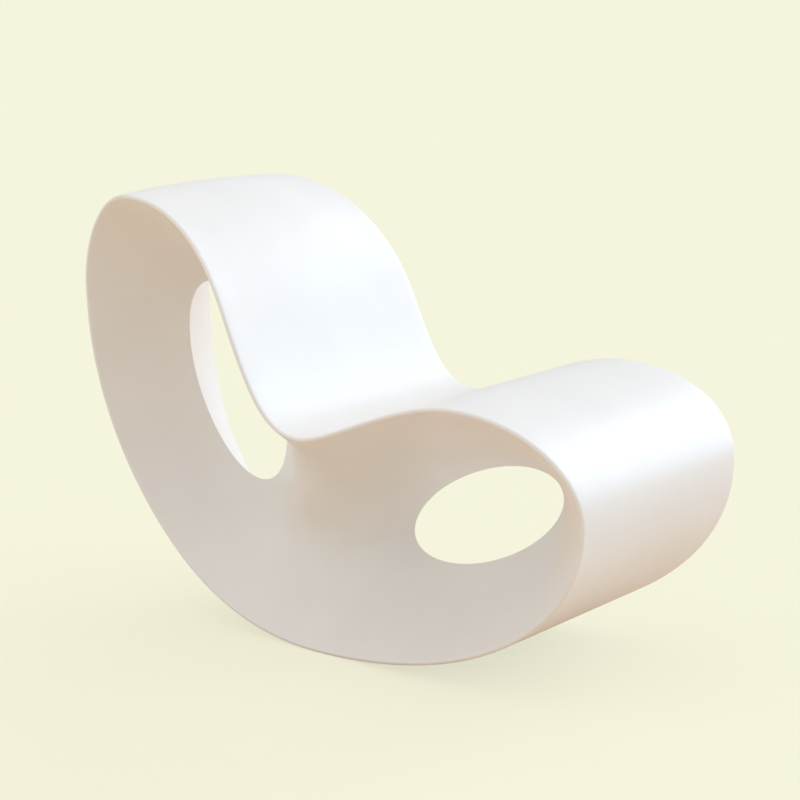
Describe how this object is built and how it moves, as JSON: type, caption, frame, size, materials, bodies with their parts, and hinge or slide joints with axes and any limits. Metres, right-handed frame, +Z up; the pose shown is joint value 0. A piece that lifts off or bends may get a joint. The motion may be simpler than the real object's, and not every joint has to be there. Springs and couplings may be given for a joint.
{
  "type": "moulded shell rocking lounge chair",
  "caption": "Low rocking lounge chair: one wide white band loops as back, seat, nose and rocker, with dished sides that run into through openings.",
  "frame": {"origin": "on the floor, at the middle of the chair's length and width, at its rest pose", "axes": "+X the way the sitter faces, +Y the sitter's left, +Z up"},
  "size_m": [1.14, 0.56, 0.79],
  "materials": {
    "shell_white": "satin moulded white, sanded seams",
    "bond_strip": "cast resin strip",
    "core_sheet": "sawn sheet"
  },
  "bodies": {
    "root": {"seat_back_skin": "shell_white", "rocker_skin": "shell_white", "left_side_skin": "shell_white", "right_side_skin": "shell_white", "left_rim_strip": "bond_strip", "right_rim_strip": "bond_strip", "crown_seam_strip": "bond_strip", "nose_seam_strip": "bond_strip", "centre_web": "core_sheet", "left_back_rib": "core_sheet", "left_pillar_rib": "core_sheet", "left_nose_rib": "core_sheet", "left_heel_rib": "core_sheet", "right_back_rib": "core_sheet", "right_pillar_rib": "core_sheet", "right_nose_rib": "core_sheet", "right_heel_rib": "core_sheet"}
  },
  "joints": []
}
